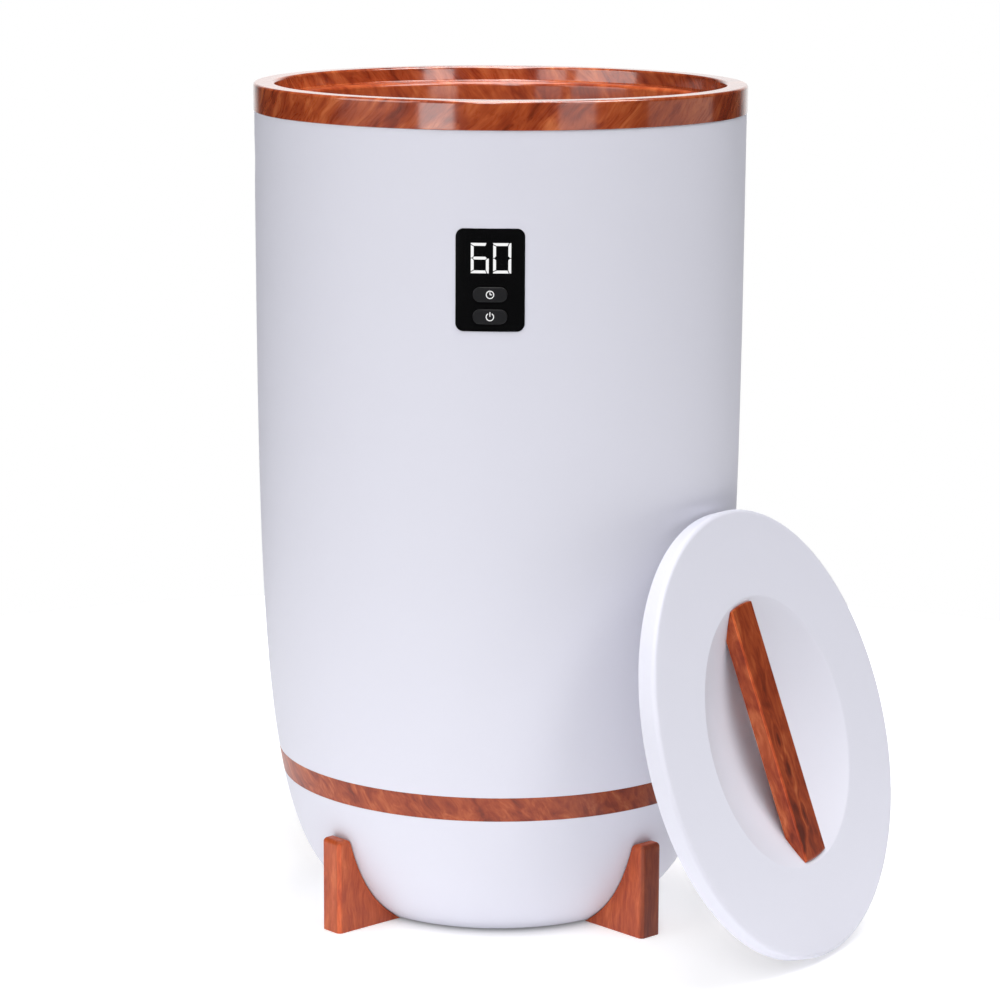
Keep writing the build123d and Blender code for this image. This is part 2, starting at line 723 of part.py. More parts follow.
def power_icon():
    """An open ring with a bar at the top."""
    ring = Circle(ICON_R) - Circle(ICON_R - ICON_STROKE) - Pos(0, ICON_R) * Rectangle(2.4, 2.4)
    bar = Pos(0, ICON_R * 0.62) * Rectangle(ICON_STROKE, ICON_R * 1.1)
    return ring + bar


# ---- cord entry --------------------------------------------------------------------------------------

def make_cord_gland():
    """Bush at the back of the bowl that the mains cord enters through."""
    flange = Pos(0, 0, 0.5) * Cylinder(GLAND_R + 3.0, 2.5, align=UPWARD)
    flange = fillet(flange.edges().sort_by(Axis.Z)[-1], 1.0)
    body = Pos(0, 0, -11) * Cylinder(GLAND_R, 11.6, align=UPWARD)
    bore = Pos(0, 0, -12) * Cylinder(CORD_R, 20, align=UPWARD)
    return wall_place(180, GLAND_Z) * (flange + body - bore)


def make_gland_nut():
    """Nut that clamps the gland from inside the bowl."""
    nut = extrude(RegularPolygon(GLAND_R + 3.0, 6), NUT_T) - Cylinder(GLAND_R + 0.05, 20)
    return wall_place(180, GLAND_Z) * Pos(0, 0, -10.4) * nut


# ---- lid ---------------------------------------------------------------------------------------------

def lid_place():
    """The lid's frame: Z is the way its face looks, Y runs along the handle."""
    tilt = math.radians(LID_TILT)
    roll = math.radians(LID_ROLL)
    normal = polar(1, LID_AZIMUTH) * math.cos(tilt) + Vector(0, 0, math.sin(tilt))
    side = polar(1, LID_AZIMUTH + 90)
    x_dir = side * math.cos(roll) + normal.cross(side) * math.sin(roll)
    return Plane(origin=LID_CENTRE, x_dir=x_dir, z_dir=normal).location


def dish_height(radius, offset_by=0.0):
    """Height of the dish's sphere, or of one offset_by thicker, at a radius."""
    centre = math.sqrt(DISH_SPHERE_R ** 2 - DISH_R ** 2)
    return centre - math.sqrt((DISH_SPHERE_R + offset_by) ** 2 - radius ** 2)


def dish_radius(height, offset_by):
    """Radius at which the sphere offset_by thicker than the dish's is at a height."""
    centre = math.sqrt(DISH_SPHERE_R ** 2 - DISH_R ** 2)
    return math.sqrt((DISH_SPHERE_R + offset_by) ** 2 - (centre - height) ** 2)


def dish_arc(radius, offset_by=0.0):
    """Arc of a dish sphere from the axis out to a radius."""
    points = [(r, 0, dish_height(r, offset_by)) for r in (0, radius / 2, radius)]
    return ThreePointArc(*points)


def make_lid_top():
    """Moulded lid top: rim, face and dish, with bosses for the liner's screws."""
    under_r = dish_radius(-LID_WALL, LID_WALL)
    rim = radial_line(
        (DISH_R, 0), (LID_R, 0), (LID_R, -LID_T), (LID_R - LID_WALL, -LID_T),
        (LID_R - LID_WALL, -LID_WALL), (under_r, -LID_WALL),
    )
    axis_line = radial_line((0, dish_height(0, LID_WALL)), (0, dish_height(0)))
    top = turned(dish_arc(DISH_R), rim, dish_arc(under_r, LID_WALL), axis_line)
    top = round_rims(top, LID_EDGE_R, (LID_R, 0))
    top = round_rims(top, DISH_EDGE_R, (DISH_R, 0))
    top = round_rims(top, 1.0, (LID_R, -LID_T))
    low = LINER_FLOOR + LINER_T
    boss = Pos(0, 0, low) * Cylinder(LID_BOSS_R, -LID_WALL - low + 0.5, align=UPWARD)
    top += [Pos(*polar(LINER_SCREW_R, 60 * i)) * boss for i in range(6)]
    top = cut(top, screws(liner_screw_places(), LINER_SCREW))
    return cut(top, screws(handle_screw_places(), HANDLE_SCREW))


def make_lid_liner():
    """Lid underside: a rim inside the top's edge, a boss that enters the collar, and a bulge."""
    outer_r = LID_R - LID_WALL - 0.2
    gap = LID_WALL + 3.0
    out_r = dish_radius(LINER_FLOOR, gap + LINER_T)
    in_r = dish_radius(LINER_FLOOR + LINER_T, gap)
    rim = radial_line(
        (out_r, LINER_FLOOR), (BOSS_R, LINER_FLOOR), (BOSS_R, -LID_T), (outer_r, -LID_T),
        (outer_r, -LID_T + LINER_T), (BOSS_R - LINER_T, -LID_T + LINER_T),
        (BOSS_R - LINER_T, LINER_FLOOR + LINER_T), (in_r, LINER_FLOOR + LINER_T),
    )
    low_z, high_z = dish_height(0, gap + LINER_T), dish_height(0, gap)
    liner = turned(
        dish_arc(out_r, gap + LINER_T), rim, dish_arc(in_r, gap), radial_line((0, high_z), (0, low_z))
    )
    liner = round_rims(liner, 0.8, (BOSS_R, LINER_FLOOR))
    liner -= tube(GASKET_IN_R, GASKET_OUT_R, -LID_T - 1, -LID_T + 0.7)
    return cut(liner, screws(liner_screw_places(), LINER_SCREW))


def make_lid_insulation():
    """Foam ring between the lid's top and its liner."""
    foam = tube(FOAM_IN_R, FOAM_OUT_R, LINER_FLOOR + LINER_T + 0.2, -LID_WALL - 0.2)
    hole = Cylinder(LID_BOSS_R + 0.5, 60)
    return cut(foam, [Pos(*polar(LINER_SCREW_R, 60 * i)) * hole for i in range(6)])


def make_lid_handle():
    """Wood-look bar across the dish, flush with the face and cut to the dish at its ends."""
    bar = Pos(0, 0, -HANDLE_T) * Box(HANDLE_W, 2 * DISH_R, HANDLE_T, align=UPWARD)
    centre = math.sqrt(DISH_SPHERE_R ** 2 - DISH_R ** 2)
    bar &= Pos(0, 0, centre) * Sphere(DISH_SPHERE_R - 0.1)
    bar &= Cylinder(HANDLE_END_R, 60)
    bar = fillet(bar.faces().sort_by(Axis.Z)[-1].edges(), HANDLE_EDGE_R)
    return cut(bar, screws(handle_screw_places(), HANDLE_SCREW))


def handle_screw_places():
    """One place behind each end of the handle, square to the dish and pointing into the bar."""
    centre = math.sqrt(DISH_SPHERE_R ** 2 - DISH_R ** 2)
    places = []
    for sign in (-1, 1):
        on_dish = Vector(0, sign * HANDLE_SCREW_R, dish_height(HANDLE_SCREW_R))
        inward = (Vector(0, 0, centre) - on_dish).normalized()
        seat = on_dish - inward * (LID_WALL + 0.1)
        places.append(Plane(origin=seat, x_dir=(1, 0, 0), z_dir=inward).location)
    return places


def liner_screw_places():
    """Six places let into the liner, pointing up into the top's bosses."""
    seat = LINER_FLOOR + LINER_SCREW[3]
    return [Plane(origin=polar(LINER_SCREW_R, 60 * i, seat)).location for i in range(6)]


# ---- assembly -----------------------------------------------------------------------------------------

def make_tub():
    """Every piece that stays with the tub."""
    nodes = {
        "outer_shell": make_outer_shell(),
        "lower_bowl": make_lower_bowl(),
        "trim_band": make_trim_band(),
        "rim_ring": make_rim_ring(),
        "inner_collar": make_inner_collar(),
        "pot_gasket": make_pot_gasket(),
        "heating_pot": make_heating_pot(),
        "rim_screws": screws(rim_screw_places(), SMALL_SCREW),
        "heater_mat": make_heater_mat(),
        "insulation_sleeve": make_insulation_sleeve(),
        "floor_insulation": make_floor_insulation(),
        "support_ring": make_support_ring(),
        "support_posts": make_support_posts(),
        "base_plate": make_base_plate(),
        "base_screws": screws(plate_screw_places(), PLATE_SCREW),
        "leg_screws": screws(leg_screw_places(), LEG_SCREW),
        "thermostat": make_thermostat(),
        "thermal_fuse": make_thermal_fuse(),
        "temperature_sensor": make_temperature_sensor(),
        "sensor_leads": make_sensor_leads(),
        "heater_leads": make_heater_leads(),
        "power_board": make_power_board(),
        "board_standoffs": make_board_standoffs(),
        "transformer": on_board(-32, -2, 26, 32, 24),
        "relay": on_board(30, -12, 19, 15, 15),
        "capacitor": make_capacitor(),
        "terminal_block": on_board(30, 18, 30, 11, 13),
        "panel_frame": make_panel_frame(),
        "panel_screws": screws(panel_screw_places(), PANEL_SCREW),
        "display_board": make_display_board(),
        "led_module": make_led_module(),
        "tact_switches": make_tact_switches(),
        "buzzer": make_buzzer(),
        "panel_ribbon": make_panel_ribbon(),
        "display_window": make_display_window(),
        "lit_segments": make_lit_segments(),
        "cord_gland": make_cord_gland(),
        "gland_nut": make_gland_nut(),
    }
    for name, angle in LEG_ANGLES.items():
        nodes["leg_" + name] = make_leg(angle)
        nodes["foot_pad_" + name] = leg_place(angle) * foot_pad_blank(0, PAD_T)
    return nodes


def make_buttons():
    """The two buttons, each with its icon and switch plunger."""
    nodes = {}
    for name, z, icon in (("timer", TIMER_Z, clock_icon()), ("power", POWER_Z, power_icon())):
        nodes[name + "_button"] = make_button(z, icon)
        nodes[name + "_icon"] = make_icon(z, icon)
        nodes[name + "_plunger"] = make_plunger(z)
    return nodes


def make_lid():
    """Every piece of the lid, set leaning on the tub."""
    flat = {
        "lid_top": make_lid_top(),
        "lid_liner": make_lid_liner(),
        "lid_insulation": make_lid_insulation(),
        "lid_gasket": tube(GASKET_IN_R, GASKET_OUT_R, -LID_T - 1.0, -LID_T + 0.6),
        "lid_handle": make_lid_handle(),
        "handle_screws": screws(handle_screw_places(), HANDLE_SCREW),
        "liner_screws": screws(liner_screw_places(), LINER_SCREW),
    }
    place = lid_place()
    return {name: [place * p for p in as_list(shape)] for name, shape in flat.items()}


def as_list(shape):
    """One shape or a list of shapes, as a list."""
    return list(shape) if isinstance(shape, list) else [shape]


os.makedirs("parts", exist_ok=True)
for node, shape in {**make_tub(), **make_buttons(), **make_lid()}.items():
    solids = [solid for piece in as_list(shape) for solid in piece.solids()]
    export_step(solids[0] if len(solids) == 1 else Compound(children=solids), f"parts/{node}.step")
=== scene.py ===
import json
import math

import bmesh
import bpy
from bpy.props import FloatProperty, FloatVectorProperty, PointerProperty
from bpy.types import Operator, Panel, PropertyGroup
from mathutils import Matrix, Vector


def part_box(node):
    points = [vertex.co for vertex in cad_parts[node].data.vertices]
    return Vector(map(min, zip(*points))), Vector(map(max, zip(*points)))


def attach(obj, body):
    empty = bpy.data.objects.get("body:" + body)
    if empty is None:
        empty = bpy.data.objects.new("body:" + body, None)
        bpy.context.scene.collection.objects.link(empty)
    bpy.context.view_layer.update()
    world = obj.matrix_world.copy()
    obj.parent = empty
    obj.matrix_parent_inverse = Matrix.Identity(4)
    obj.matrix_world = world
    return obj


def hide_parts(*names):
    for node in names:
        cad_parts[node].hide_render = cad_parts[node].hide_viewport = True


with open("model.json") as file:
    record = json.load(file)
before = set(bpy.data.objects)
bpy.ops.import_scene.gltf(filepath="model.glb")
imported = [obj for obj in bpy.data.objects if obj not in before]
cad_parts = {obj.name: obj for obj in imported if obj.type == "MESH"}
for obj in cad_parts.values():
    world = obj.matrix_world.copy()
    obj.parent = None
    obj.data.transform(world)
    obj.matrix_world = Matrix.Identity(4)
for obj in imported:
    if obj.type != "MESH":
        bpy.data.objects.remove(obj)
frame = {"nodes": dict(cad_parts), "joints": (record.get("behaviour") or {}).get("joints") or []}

bl_info = {
    "name": "Bucket Towel Warmer",
    "version": (1, 0, 0),
    "blender": (4, 5, 0),
    "location": "3D View > Sidebar > Towel Warmer",
    "description": "Dresses a bucket towel warmer and the lid that leans beside it",
    "category": "Add Mesh",
}

# Turn of the lid about its own axis, which tips its handle off the upright
LID_ROLL = math.radians(4.4)

# Soft boxes: the setting that holds their power, the angle in degrees round the tub's axis from the
# front towards the right, distance, height, width and height of the box, and the height it faces
SOFT_BOXES = {
    "key_box": ("key", -26, 2.4, 0.38, (0.66, 0.5), 0.5),
    "key_upper_box": ("key_upper", -26, 2.4, 0.90, (0.66, 0.5), 0.5),
    "second_box": ("second", 36, 2.4, 0.38, (0.70, 0.5), 0.5),
    "second_upper_box": ("second_upper", 36, 2.4, 0.90, (0.70, 0.5), 0.5),
    "edge_box": ("edge", 92, 2.2, 0.39, (1.7, 0.30), 0.40),
    "overhead_strip": ("overhead", 0, 0.01, 2.0, (0.6, 2.2), 0.2),
    "front_strip": ("front", -4, 2.3, 2.2, (0.5, 1.9), 0.55),
    "side_box": ("side", -57.5, 2.4, 1.44, (1.75, 2.3), 0.35),
    "right_top_box": ("right_top", 70, 1.6, 3.0, (1.6, 1.6), 0.2),
}

# The floor's own light as shares of its glow, and the distances over which each share gives way. The shares
# under the tub and beside the lid's foot are painted shadows; far off the glow is brighter.
PAINTED_SHADOW_UNDER_TUB, PAINTED_SHADOW_UNDER_TUB_ENDS = 0.03, (0.088, 0.120)
PAINTED_SHADOW_BESIDE_LID, PAINTED_SHADOW_BESIDE_LID_ENDS = 0.7, (0.02, 0.09)
FAR_OFF, FAR_OFF_ENDS = 1.5, (0.5, 0.85)

# Where the room behind the object begins and is full, as heights on a ball of directions along Y
BEHIND_ENDS = (0.85, 0.97)


def tint(red, green, blue):
    """A colour given in 8-bit display values, as the linear numbers that Blender keeps."""
    return tuple(((c / 255 + 0.055) / 1.055) ** 2.4 if c > 10 else c / 255 / 12.92
                 for c in (red, green, blue))


def colour_property(name, description, default):
    """A colour that shows as a swatch in the sidebar."""
    return FloatVectorProperty(name=name, description=description, default=default,
                               subtype="COLOR", size=3, min=0, max=1)


# ---- sizes and colours -------------------------------------------------------------------------------

class CasingLooks(PropertyGroup):
    plastic: colour_property("Plastic", "Colour of the moulded shell, bowl and lid", tint(224, 224, 235))
    base: colour_property("Base", "Colour of the moulded parts under the tub", tint(196, 197, 203))
    lining: colour_property("Lid underside", "Colour of the lid's liner", tint(214, 214, 220))
    gloss: FloatProperty(name="Roughness", description="Roughness of the moulded plastic",
                         default=0.50, min=0, max=1, subtype="FACTOR")
    grain: FloatProperty(name="Mould texture", description="Depth of the fine texture that the mould leaves",
                         default=0.00002, min=0, max=0.001, unit="LENGTH", precision=5)


class WoodLooks(PropertyGroup):
    dark: colour_property("Dark grain", "Darkest lines of the burl", tint(103, 36, 16))
    red: colour_property("Red grain", "Deep red of the burl", tint(152, 58, 27))
    mid: colour_property("Mid grain", "Main colour of the wood", tint(181, 81, 41))
    light: colour_property("Light grain", "Lightest patches of the burl", tint(216, 119, 70))
    lacquer: FloatProperty(name="Lacquer", description="Weight of the lacquer on the rim",
                           default=1.0, min=0, max=1, subtype="FACTOR")


class RimSizes(PropertyGroup):
    mouth: FloatProperty(name="Recess mouth", description="Radius of the lid's recess at the top of the rim",
                         default=0.1515, min=0.1, max=0.2, unit="LENGTH", precision=4)
    foot: FloatProperty(name="Recess foot", description="Radius of the lid's recess at its ledge",
                        default=0.1506, min=0.1, max=0.2, unit="LENGTH", precision=4)
    depth: FloatProperty(name="Recess depth", description="Depth of the ledge below the top of the rim",
                         default=0.010, min=0, max=0.1, unit="LENGTH", precision=4)
    ledge: FloatProperty(name="Ledge radius", description="Inner radius of the ledge that the lid sits on",
                         default=0.1474, min=0.1, max=0.2, unit="LENGTH", precision=4)
    ledge_thickness: FloatProperty(name="Ledge thickness", description="Thickness of the ledge",
                                   default=0.004, min=0, max=0.1, unit="LENGTH", precision=4)
    skirt: FloatProperty(name="Skirt radius", description="Outer radius of the skirt inside the shell",
                         default=0.1612, min=0.1, max=0.2, unit="LENGTH", precision=4)
    skirt_thickness: FloatProperty(name="Skirt thickness", description="Thickness of the skirt",
                                   default=0.0025, min=0, max=0.1, unit="LENGTH", precision=4)
    rounding: FloatProperty(name="Rim rounding", description="Radius of the rim's two upper edges",
                            default=0.002, min=0, max=0.01, unit="LENGTH", precision=4)
    throat: FloatProperty(name="Collar mouth", description="Inner radius of the collar at its lip",
                          default=0.1405, min=0.1, max=0.2, unit="LENGTH", precision=4)
    throat_foot: FloatProperty(name="Collar foot", description="Inner radius of the collar at its lower end",
                               default=0.138, min=0.1, max=0.2, unit="LENGTH", precision=4)
    collar_outside: FloatProperty(name="Collar outside",
                                  description="Outer radius of the collar's lower part",
                                  default=0.143, min=0.1, max=0.2, unit="LENGTH", precision=4)
    lip: FloatProperty(name="Collar lip", description="Radius of the collar's rounded lip",
                       default=0.003, min=0, max=0.01, unit="LENGTH", precision=4)
    flange: FloatProperty(name="Collar flange", description="Thickness of the collar's flange",
                          default=0.0023, min=0, max=0.01, unit="LENGTH", precision=4)


class PanelLooks(PropertyGroup):
    window: colour_property("Window", "Colour of the glossy display window", tint(9, 9, 10))
    button: colour_property("Buttons", "Colour of the two buttons", tint(27, 27, 29))
    digits: colour_property("Digits", "Colour of the lit digits", tint(255, 255, 255))
    glow: FloatProperty(name="Glow", description="How strongly the digits shine", default=0.95, min=0, max=20)


class InnerLooks(PropertyGroup):
    metal: colour_property("Pot", "Colour of the spun aluminium pot", tint(200, 202, 206))
    steel: colour_property("Steel", "Colour of screws and pressed steel", tint(168, 168, 172))
    felt: colour_property("Felt", "Colour of the insulating felt", tint(186, 184, 176))
    rubber: colour_property("Rubber", "Colour of the foot pads", tint(34, 34, 36))
    board: colour_property("Circuit board", "Colour of the circuit boards", tint(24, 84, 52))


class StageLooks(PropertyGroup):
    floor: colour_property("Floor", "Colour of the floor", tint(205, 205, 207))
    floor_radius: FloatProperty(name="Floor radius",
                                description="Radius of the floor, whose rim is pure white",
                                default=0.95, min=0.5, max=10, unit="LENGTH")
    floor_glow: FloatProperty(name="Floor glow",
                              description="Light of its own that the floor gives near the object",
                              default=0.59, min=0, max=5)
    room: FloatProperty(name="Room light", description="Strength of the light from all round",
                        default=0.01, min=0, max=10)
    mirrored: FloatProperty(name="Front room",
                            description="How bright the room in front looks in reflections",
                            default=0.02, min=0, max=10)
    key: FloatProperty(name="Key light", description="Power of the low soft box on the left of the camera",
                       default=3.1, min=0, max=2000, unit="POWER")
    key_upper: FloatProperty(name="Upper key light", description="Power of the soft box above the key light",
                             default=1.8, min=0, max=2000, unit="POWER")
    second: FloatProperty(name="Second light",
                          description="Power of the low soft box on the right of the camera",
                          default=1.15, min=0, max=2000, unit="POWER")
    second_upper: FloatProperty(name="Upper second light",
                                description="Power of the soft box above the second",
                                default=3.3, min=0, max=2000, unit="POWER")
    edge: FloatProperty(name="Edge light", description="Power of the low strip on the right",
                        default=0.65, min=0, max=2000, unit="POWER")
    overhead: FloatProperty(name="Overhead light", description="Power of the long strip over the tub",
                            default=25.6, min=0, max=2000, unit="POWER")
    front: FloatProperty(name="Front strip", description="Power of the high strip in front",
                         default=16, min=0, max=2000, unit="POWER")
    side: FloatProperty(name="Side light", description="Power of the soft light at the far left",
                        default=28.1, min=0, max=2000, unit="POWER")
    right_top: FloatProperty(name="Right top light", description="Power of the high light on the right",
                             default=56.5, min=0, max=2000, unit="POWER")
    camera_turn: FloatProperty(name="Camera turn", description="Angle of the camera round the tub's axis",
                               default=math.radians(2.1), subtype="ANGLE")
    camera_distance: FloatProperty(name="Camera distance", description="From the tub's axis to the camera",
                                   default=2.3202, min=0.5, max=10, unit="LENGTH")
    camera_height: FloatProperty(name="Camera height", description="Height of the camera above the floor",
                                 default=0.7302, min=0, max=5, unit="LENGTH")
    camera_pitch: FloatProperty(name="Camera pitch", description="Angle that the camera looks down by",
                                default=math.radians(11.078), subtype="ANGLE")
    camera_heading: FloatProperty(name="Camera heading", description="Turn of the camera's view about Z",
                                  default=math.radians(2.076), subtype="ANGLE")
    camera_roll: FloatProperty(name="Camera roll", description="Turn of the camera about its own view",
                               default=math.radians(0.295), subtype="ANGLE")
    lens: FloatProperty(name="Lens", description="Focal length in millimetres",
                        default=124.1, min=10, max=500)


# ---- materials ---------------------------------------------------------------------------------------

class Signal:
    """A shader socket's value, whose Python operators add Math nodes."""

    def __init__(self, finish, socket):
        self.finish = finish
        self.socket = socket

    def maths(self, operation, *values):
        return self.finish.node("ShaderNodeMath", {"operation": operation}, dict(enumerate(values)))

    def __add__(self, other):
        return self.maths("ADD", self, other)

    def __radd__(self, other):
        return self.maths("ADD", other, self)

    def __sub__(self, other):
        return self.maths("SUBTRACT", self, other)

    def __rsub__(self, other):
        return self.maths("SUBTRACT", other, self)

    def __mul__(self, other):
        return self.maths("MULTIPLY", self, other)

    def __rmul__(self, other):
        return self.maths("MULTIPLY", other, self)

    def step(self, low, high):
        """0 below low and 1 above high, with a smooth rise between them."""
        return self.finish.node("ShaderNodeMapRange", {"interpolation_type": "SMOOTHSTEP"},
                                {"Value": self, "From Min": low, "From Max": high})


class Finish:
    """A material in the making, patterned on its object's own coordinates."""

    def __init__(self, name, **constants):
        self.material = bpy.data.materials.new(name)
        self.material.use_nodes = True
        self.tree = self.material.node_tree
        self.shader = self.tree.nodes["Principled BSDF"]
        self.place = self.node("ShaderNodeTexCoord", output="Object")
        for socket, value in constants.items():
            self.shader.inputs[socket.replace("_", " ")].default_value = value

    def node(self, kind, settings=None, inputs=None, output=0):
        """Adds one node, with its settings first and then its sockets' values or links."""
        made = self.tree.nodes.new(kind)
        for name, value in (settings or {}).items():
            if name == "stops":
                self.set_stops(made.color_ramp, value)
            else:
                setattr(made, name, value)
        for socket, value in (inputs or {}).items():
            if isinstance(value, Signal):
                self.tree.links.new(value.socket, made.inputs[socket])
            else:
                made.inputs[socket].default_value = value
        return Signal(self, made.outputs[output])

    @staticmethod
    def set_stops(ramp, stops):
        """Gives a colour ramp its stops, each a position and a colour."""
        ramp.elements.remove(ramp.elements[-1])
        first = ramp.elements[0]
        first.position, first.color = stops[0][0], (*stops[0][1], 1)
        for position, colour in stops[1:]:
            ramp.elements.new(position).color = (*colour, 1)

    def feed(self, socket, signal):
        """Links a signal to one of the shader's own sockets."""
        self.tree.links.new(signal.socket, self.shader.inputs[socket])

    def vector(self, operation, *values, output=0):
        """A Vector Math node."""
        return self.node("ShaderNodeVectorMath", {"operation": operation}, dict(enumerate(values)), output)

    def noise(self, place, scale, detail=2.0, roughness=0.5, distortion=0.0, output=0):
        """A Noise texture, whose scale is in patches to the metre."""
        return self.node("ShaderNodeTexNoise", {}, {
            "Vector": place, "Scale": scale, "Detail": detail, "Roughness": roughness,
            "Distortion": distortion}, output)

    def warped(self, place, scale, amount):
        """Coordinates pushed about by a slow noise, which bends what is drawn on them."""
        push = self.noise(place, scale, detail=2.0, output=1)
        centred = self.vector("SUBTRACT", push, (0.5, 0.5, 0.5))
        return self.vector("MULTIPLY_ADD", centred, (amount, amount, amount), place)

    def ramp(self, value, stops):
        """A colour from a value."""
        return self.node("ShaderNodeValToRGB", {"stops": stops}, {"Fac": value})

    def mix(self, share, first, second, blend="MIX"):
        """Two colours mixed by a share of the second."""
        colours = {6: first if isinstance(first, Signal) else (*first, 1),
                   7: second if isinstance(second, Signal) else (*second, 1)}
        return self.node("ShaderNodeMix", {"data_type": "RGBA", "blend_type": blend, "clamp_factor": True},
                         {0: share, **colours}, 2)

    def bump(self, height, distance):
        """Relief from a height between 0 and 1, which stands for a distance in metres."""
        return self.node("ShaderNodeBump", {}, {"Height": height, "Distance": distance})


def moulded_plastic(name, colour, rough, grain):
    """Satin injection-moulded plastic with a fine spark texture and the faintest cloudiness."""
    finish = Finish(name, IOR=1.46, Specular_IOR_Level=0.5)
    cloud = finish.noise(finish.place, 7, detail=3)
    spark = finish.noise(finish.place, 1500, detail=2, roughness=0.6)
    shade = tuple(0.975 * c for c in colour)
    finish.feed("Base Color", finish.mix(cloud, colour, shade))
    finish.feed("Roughness", rough + (spark - 0.5) * 0.10 + (cloud - 0.5) * 0.04)
    finish.feed("Normal", finish.bump(spark, grain))
    return finish.material


def burl_tones(finish, looks, figure, fibre):
    """The burl's colours from its broad figure and its fine fibres."""
    value = 0.80 * figure + 0.20 * fibre
    stops = [(0.30, looks.dark), (0.43, looks.red), (0.54, looks.mid), (0.70, looks.light)]
    return finish.ramp(value, [(at, tuple(colour)) for at, colour in stops])


def burl(name, looks, grain, fineness, rough, coat, lift=1.0, knots=(), wave=0.026, stretch=2.2,
         contrast=1.0, painted_light_zones=(), shift=(0, 0, 0)):
    """Lacquered reddish burl. grain gives coordinates whose Z runs along the fibres.

    wave is how far the figure wanders, stretch how much longer than wide its strokes are, and
    contrast how far its tones lie apart. Each zone is a painted highlight or painted shade: a
    direction, the two distances along it between which the brightness changes, and how bright it is
    from there on. Each knot is a centre, its length and width, and how dark its middle is. shift
    picks the part of the figure that the piece is cut from."""
    finish = Finish(name, IOR=1.5, Specular_IOR_Level=0.2,
                    Coat_Roughness=0.11, Coat_IOR=1.8, Coat_Weight=coat)
    place = grain(finish)
    bent = finish.warped(finish.vector("ADD", place, shift), 24 * fineness, wave / fineness)
    strokes = finish.noise(finish.vector("MULTIPLY", bent, (1, 1, 1 / stretch)), 80 * fineness, 3, 0.55, 0.9)
    clouds = finish.noise(finish.vector("MULTIPLY", bent, (1, 1, 1.8 / stretch)), 34 * fineness, 3, 0.5, 1.2)
    fibre = finish.noise(finish.vector("MULTIPLY", bent, (1, 1, 0.12)), 380 * fineness, 3, 0.6)
    value = 0.5 + contrast * (0.55 * strokes + 0.45 * clouds - 0.5)
    for centre, length, width, depth in knots:
        offset = finish.vector("SUBTRACT", place, centre)
        scaled = finish.vector("MULTIPLY", offset, (1 / width, 0, 1 / length))
        away = finish.vector("LENGTH", scaled, output=1)
        rings = away.maths("SINE", away * 9.0)
        value = value - depth * (1 - away.step(0.2, 1.0)) - 0.07 * rings * (1 - away.step(0.8, 2.2))
    colour = burl_tones(finish, looks, value, fibre)
    if lift != 1.0:
        colour = finish.mix(1.0, colour, (lift, lift, lift), blend="MULTIPLY")
    # Painted highlights and painted shade: each zone brightens or darkens the wood beyond a depth along its
    # direction.
    for direction, near, far, share in painted_light_zones:
        depth = finish.vector("DOT_PRODUCT", finish.place, direction, output=1)
        painted_colour = finish.mix(1.0, colour, (share, share, share), blend="MULTIPLY")
        colour = finish.mix(depth.step(near, far), colour, painted_colour)
    finish.feed("Base Color", colour)
    finish.feed("Roughness", rough + (fibre - 0.5) * 0.12)
    finish.feed("Normal", finish.bump(fibre, 0.00002))
    return finish.material


def round_the_rim(lean):
    """Grain that leans as it climbs a ring about the tub's axis, with no seam."""
    def grain(finish):
        height = finish.node("ShaderNodeSeparateXYZ", {}, {"Vector": finish.place}, "Z")
        return finish.node("ShaderNodeVectorRotate", {"rotation_type": "Z_AXIS"},
                           {"Vector": finish.place, "Angle": -lean * height})
    return grain


def upright(finish):
    """Grain that runs straight up."""
    return finish.place


def along(axis, across, centre):
    """Grain that runs along an axis through a centre."""
    def grain(finish):
        axes = (across, Vector(axis).cross(Vector(across)), axis)
        offset = finish.vector("SUBTRACT", finish.place, centre)
        parts = [finish.vector("DOT_PRODUCT", offset, tuple(a), output=1) for a in axes]
        return finish.node("ShaderNodeCombineXYZ", {}, dict(enumerate(parts)))
    return grain


def glossy_window(name, colour):
    """Hard-coated black window with the faintest wipe marks."""
    finish = Finish(name, IOR=1.5)
    wipe = finish.noise(finish.vector("MULTIPLY", finish.place, (1, 1, 0.15)), 320, 4)
    finish.feed("Base Color", finish.mix(wipe, colour, tuple(1.5 * c for c in colour)))
    finish.feed("Roughness", 0.05 + wipe * 0.05)
    return finish.material


def soft_button(name, colour):
    """Dark rubbery plastic with a fine even texture."""
    finish = Finish(name, IOR=1.45, Specular_IOR_Level=0.2, Coat_Weight=0.4, Coat_Roughness=0.15)
    spark = finish.noise(finish.place, 2600, 2)
    finish.feed("Base Color", finish.mix(spark, colour, tuple(1.25 * c for c in colour)))
    finish.feed("Roughness", 0.42 + spark * 0.12)
    finish.feed("Normal", finish.bump(spark, 0.00002))
    return finish.material


def lit_diffuser(name, colour, glow, unlit):
    """Light guide that shines evenly, a little dimmer in places; unlit is how pale it is by itself."""
    finish = Finish(name, Roughness=0.4, Emission_Strength=glow)
    patch = finish.noise(finish.place, 260, 2)
    dim = tuple(0.86 * c for c in colour)
    pale, pale_dim = (tuple(unlit * c for c in shade) for shade in (colour, dim))
    finish.feed("Base Color", finish.mix(patch, pale, pale_dim))
    finish.feed("Emission Color", finish.mix(patch, colour, dim))
    return finish.material


def brushed_metal(name, colour, rough, direction, scale=260):
    """Metal with fine turned or drawn lines."""
    finish = Finish(name, Metallic=1.0)
    lines = finish.noise(finish.vector("MULTIPLY", finish.place, direction), scale, 4, 0.6)
    cloud = finish.noise(finish.place, 18, 3)
    finish.feed("Base Color", finish.mix(0.6 * lines + 0.4 * cloud, colour, tuple(0.82 * c for c in colour)))
    finish.feed("Roughness", rough + (lines - 0.5) * 0.16 + (cloud - 0.5) * 0.08)
    finish.feed("Normal", finish.bump(lines, 0.00001))
    return finish.material


